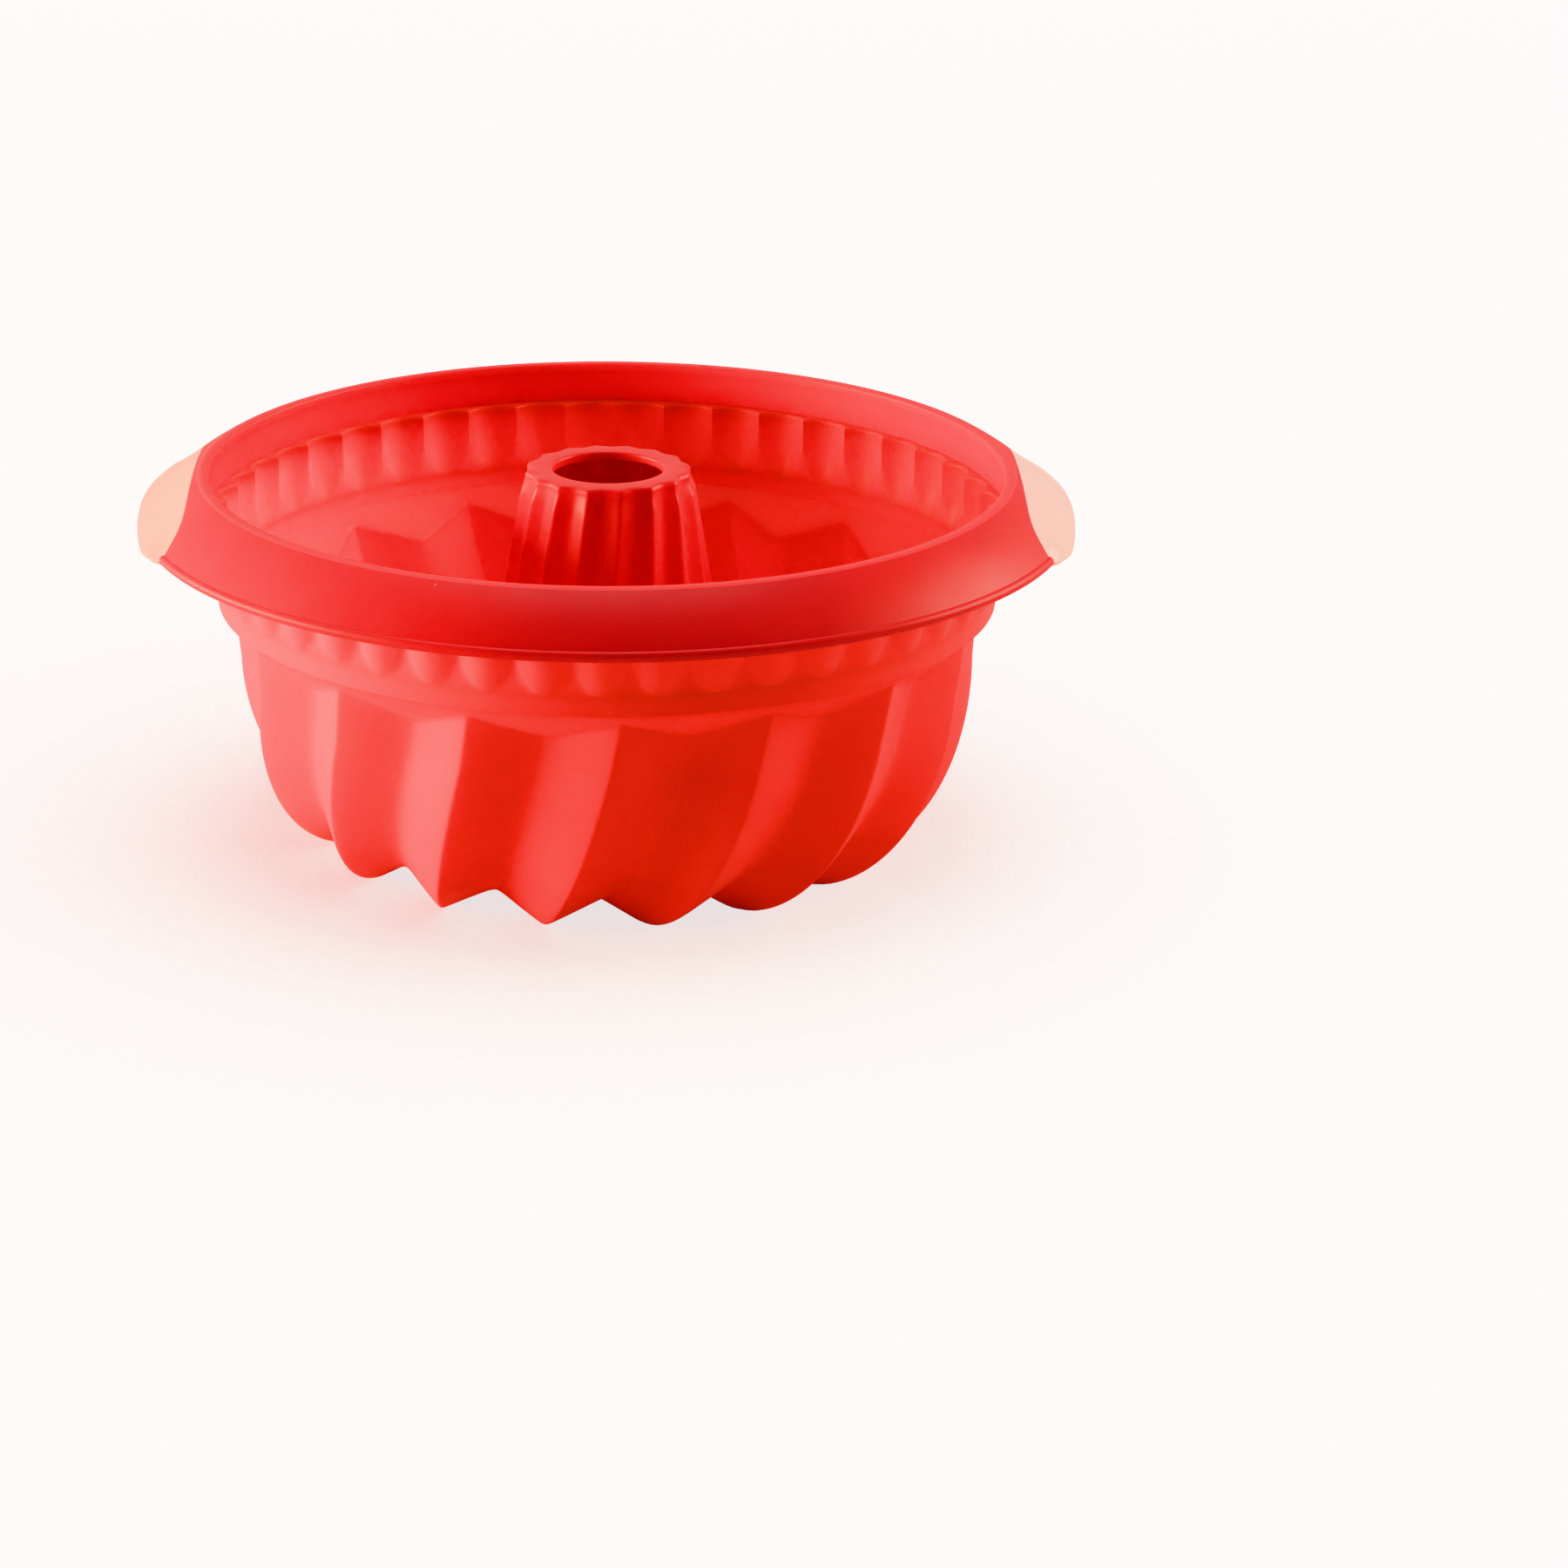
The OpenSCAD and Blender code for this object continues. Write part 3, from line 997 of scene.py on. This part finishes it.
@dataclass(frozen=True)
class LobedBowl:
    """The ledge, the lobed wall and the lobed floor, as lengths of one fluted section."""

    form: MouldForm
    shelf: FinishShelf
    half_columns: tuple[float, ...] = (0, 0.006, 0.014, 0.024, 0.04, 0.07, 0.12, 0.18, 0.25, 0.32,
                                       0.38, 0.43, 0.47)

    def columns(self) -> list[float]:
        """Returns the places of all columns, counted in lobes, closer together at each keel."""
        near = list(self.half_columns)
        one = [*near, 0.5, *(1 - u for u in near[:0:-1])]
        return [lobe + u for lobe in range(self.form.lobes) for u in one]

    def shell(self, name: str, stations: Sequence[tuple[Zone, float]]) -> bpy.types.Object:
        """Makes one length of the fluted section with its full thickness.

        Args:
            name: Name of the piece.
            stations: Stretch and place of each ring, from the band towards the collar.

        Returns:
            The finished closed shell.
        """
        form = self.form
        section = LobedSection(form)
        columns = self.columns()
        loop = [(*station, 0.0) for station in stations]
        loop += [(*station, form.skin) for station in reversed(stations)]

        def place(row: int, column: int) -> Vector:
            zone, share, inside = loop[row]
            return section.place(zone, share, inside, columns[column % len(columns)])

        return shaped_grid(name, len(loop), len(columns), place, crease=LOBE_CREASE)

    def build(self) -> None:
        """Makes the ledge, the wall and the floor."""
        form = self.form
        ledge = [(Zone.LEDGE, s) for s in (0, 0.02, 0.3, 0.55)]
        ledge += [(Zone.CORNER, s) for s in (0, 0.15, 0.3, 0.42, 0.49, 0.5)]
        satin = self.shelf.get(Silicone.WALL)
        set_in_frame(self.shell("ledge_ring_skin", ledge), "silicone_wall", satin, "ledge_ring")
        wall = [(Zone.CORNER, s) for s in (0.5, 0.51, 0.58, 0.7, 0.85, 1)]
        wall += [(Zone.WALL, s) for s in (0.3, 0.5, 0.75, 1)]
        wall += [(Zone.BEND, t) for t in (*range(3, 46, 3), 47.7, 48)]
        upright = self.shelf.get(Silicone.LOBES)
        set_in_frame(self.shell("lobed_wall_skin", wall), "silicone_lobes", upright, "lobed_wall")
        turns = [48, 48.3, *range(51, 165, 3), form.keel_end - 0.3, form.keel_end]
        floor = [(Zone.BEND, t) for t in turns]
        set_in_frame(self.shell("lobed_floor_skin", floor), "silicone_lobes", upright,
                     "lobed_floor")


@dataclass(frozen=True)
class CentreTube:
    """The fluted tube and the collar that closes its top."""

    bowl: LobedBowl
    rows: int = 16
    fade_rows: tuple[float, ...] = (0.92, 0.95, 0.965, 0.98)
    lip: float = 1.5
    bore_lip: float = 0.9

    def build(self) -> None:
        """Makes the tube and its collar."""
        # The tube's finish is darker than the walls as painted shade.
        finish = self.bowl.shelf.get(Silicone.TUBE)
        shares = sorted([*spread(self.rows, 0.004), *self.fade_rows])
        stations = [(Zone.TUBE, s) for s in shares]
        tube = self.bowl.shell("centre_tube_skin", stations)
        set_in_frame(tube, "silicone_tube", finish, "centre_tube")
        set_in_frame(self._collar(), "silicone_tube", finish, "tube_collar")

    def _collar(self) -> bpy.types.Object:
        """Returns the collar with a rounded, fluted outer edge and a rounded bore."""
        form = self.bowl.form
        section = LobedSection(form)
        columns = self.bowl.columns()
        top = form.collar_top
        foot = top + form.collar_t
        swirl = form.tube_swirl(foot)
        turns = quarter()

        def place(row: int, column: int) -> Vector:
            at = columns[column % len(columns)]
            outer = section.tube(1, form.skin, form.fold_share(at))[0]
            loop = [(form.bore_r, foot), (mix(form.bore_r, outer, 0.5), foot), (outer, foot)]
            loop += [(outer - self.lip * (1 - math.cos(a)), top + self.lip * (1 - math.sin(a)))
                     for a in turns]
            loop.append((mix(outer - self.lip, form.bore_r + self.bore_lip, 0.5), top))
            loop += [(form.bore_r + self.bore_lip * (1 - math.sin(a)),
                      top + self.bore_lip * (1 - math.cos(a))) for a in turns]
            radius, depth = loop[row]
            angle = at * 360 / form.lobes + form.lobe_phase + swirl
            return form.around(radius, depth, angle)

        rows = 4 + 2 * len(turns)
        return shaped_grid("tube_collar_skin", rows, len(columns), place, crease=LOBE_CREASE)


# ---------------------------------------------------------------- studio


@dataclass(frozen=True)
class Softbox:
    """A rectangular diffused lamp aimed at the mould."""

    title: str
    place: tuple[float, float, float]
    size: tuple[float, float]
    watts: float
    tint: str

    def build(self, aim: Vector) -> None:
        """Adds the lamp, turned towards aim."""
        lamp = bpy.data.lights.new(self.title, "AREA")
        lamp.shape = "RECTANGLE"
        lamp.size, lamp.size_y = self.size
        lamp.energy = self.watts
        lamp.color = linear(self.tint)[:3]
        light = bpy.data.objects.new(self.title, lamp)
        bpy.context.scene.collection.objects.link(light)
        light.location = self.place
        light.rotation_euler = (aim - light.location).to_track_quat("-Z", "Y").to_euler()


@dataclass(frozen=True)
class Studio:
    """White cove, softboxes and the camera."""

    camera_place: tuple[float, float, float] = (0.0, -1.31859598, 0.49723886)
    camera_aim: tuple[float, float, float] = (0.0542382, 0.0, 0.01434085)
    camera_roll: float = 0.7924
    lens_mm: float = 104.43
    floor_size: float = 9.0
    floor_lift: float = -0.00005
    floor_grey: float = 0.62
    floor_lit: float = 0.3
    # Glow strength near the mould and in the open; the drop near the mould paints the contact shadow.
    floor_glow_with_painted_shadow: Pair = (0.8, 3.0)
    painted_shadow_reach: float = 0.16
    painted_shadow_span: Pair = (0.45, 1.0)
    light_aim: tuple[float, float, float] = (0.0, 0.0, 0.06)
    room_tint: str = "#FFF5EC"
    room_turn: Pair = (-0.6, 0.7)
    room_level: Pair = (0.22, 0.85)
    backdrop_level: float = 3.0
    boxes: tuple[Softbox, ...] = (
        Softbox("key_panel_left", (-1.3, 0.05, 0.22), (1.1, 0.36), 72.0, "#FFCBA2"),
        Softbox("side_panel_right", (1.3, 0.3, 0.65), (0.9, 0.9), 34.0, "#FFDCC4"),
        Softbox("top_panel", (-0.05, 0.45, 1.6), (1.1, 1.1), 15.0, "#FFFFFF"),
    )

    def build(self) -> None:
        """Adds the floor, the lights, the surroundings and the camera."""
        self._floor()
        for box in self.boxes:
            box.build(Vector(self.light_aim))
        self._surroundings()
        self._camera()
        view = bpy.context.scene.view_settings
        view.view_transform = "Khronos PBR Neutral"
        view.look = "None"

    def _floor(self) -> None:
        """Adds the plain pale floor, shown as bright as an overexposed cove.

        What the camera sees is lit paint, which takes the lamps' shadows, plus a white glow that fades
        where the mould is near; that fading is a painted contact shadow, soft and grey.
        """
        deselect_all()
        bpy.ops.mesh.primitive_plane_add(size=self.floor_size, location=(0, 0, self.floor_lift))
        floor = bpy.context.object
        floor.name = "studio_floor"
        paint = bpy.data.materials.new("matt_white_paint")
        paint.use_nodes = True
        tree = paint.node_tree
        tree.nodes.clear()
        coat = add_node(tree, "ShaderNodeBsdfDiffuse", Color=(*(self.floor_grey,) * 3, 1))
        lit = add_node(tree, "ShaderNodeBsdfDiffuse", Color=(*(self.floor_lit,) * 3, 1))
        # Ambient occlusion dims the glow where the mould is near: a painted contact shadow.
        painted_shadow_ao = add_node(tree, "ShaderNodeAmbientOcclusion", Distance=self.painted_shadow_reach)
        level = add_node(tree, "ShaderNodeMapRange", i0=painted_shadow_ao.outputs["AO"],
                         i1=self.painted_shadow_span[0], i2=self.painted_shadow_span[1],
                         i3=self.floor_glow_with_painted_shadow[0], i4=self.floor_glow_with_painted_shadow[1])
        glow = add_node(tree, "ShaderNodeEmission", Strength=level.outputs["Result"])
        bright = add_node(tree, "ShaderNodeAddShader", i0=lit.outputs["BSDF"],
                          i1=glow.outputs["Emission"])
        path = add_node(tree, "ShaderNodeLightPath")
        both = add_node(tree, "ShaderNodeMixShader", i0=path.outputs["Is Camera Ray"],
                        i1=coat.outputs["BSDF"], i2=bright.outputs["Shader"])
        add_node(tree, "ShaderNodeOutputMaterial", Surface=both.outputs["Shader"])
        floor.data.materials.append(paint)
        floor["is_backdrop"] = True

    def _surroundings(self) -> None:
        """Lights the room evenly, dimmer on the camera's side, and shows plain white behind."""
        world = bpy.data.worlds.new("white_cove")
        world.use_nodes = True
        tree = world.node_tree
        tree.nodes.clear()
        toward = add_node(tree, "ShaderNodeTexCoord").outputs["Generated"]
        axes = add_node(tree, "ShaderNodeSeparateXYZ", Vector=toward)
        level = add_node(tree, "ShaderNodeMapRange", i0=axes.outputs["Y"],
                         i1=self.room_turn[0], i2=self.room_turn[1],
                         i3=self.room_level[0], i4=self.room_level[1])
        room = add_node(tree, "ShaderNodeBackground", Color=linear(self.room_tint),
                        Strength=level.outputs["Result"])
        plain = add_node(tree, "ShaderNodeBackground", Color=linear("#FFFFFF"),
                         Strength=self.backdrop_level)
        path = add_node(tree, "ShaderNodeLightPath")
        shown = add_node(tree, "ShaderNodeMixShader", i0=path.outputs["Is Camera Ray"],
                         i1=room.outputs["Background"], i2=plain.outputs["Background"])
        add_node(tree, "ShaderNodeOutputWorld", Surface=shown.outputs["Shader"])
        bpy.context.scene.world = world

    def _camera(self) -> None:
        """Adds the camera."""
        place = Vector(self.camera_place)
        forward = (Vector(self.camera_aim) - place).normalized()
        level = forward.cross(Vector((0, 0, 1))).normalized()
        upright = level.cross(forward)
        roll = math.radians(self.camera_roll)
        right = math.cos(roll) * level + math.sin(roll) * upright
        up = math.cos(roll) * upright - math.sin(roll) * level
        data = bpy.data.cameras.new("studio_camera")
        data.sensor_width = 36.0
        data.lens = self.lens_mm
        camera = bpy.data.objects.new("studio_camera", data)
        bpy.context.scene.collection.objects.link(camera)
        turn = Matrix((right, up, -forward)).transposed().to_4x4()
        camera.matrix_world = Matrix.Translation(place) @ turn
        bpy.context.scene.camera = camera


def main() -> None:
    """Builds the mould's zones in order, then the studio."""
    logging.basicConfig(level=logging.INFO, format="%(name)s: %(message)s")
    cad_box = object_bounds()
    form = MouldForm(rim_z=cad_box[1].z / MM)
    shelf = FinishShelf()
    bowl = LobedBowl(form, shelf)
    for assembly in (Rim(form, shelf), Skirt(form, shelf), Band(form, shelf), bowl,
                     CentreTube(bowl)):
        LOG.info("building %s", type(assembly).__name__)
        assembly.build()
    Studio().build()


if __name__ == "__main__":
    main()
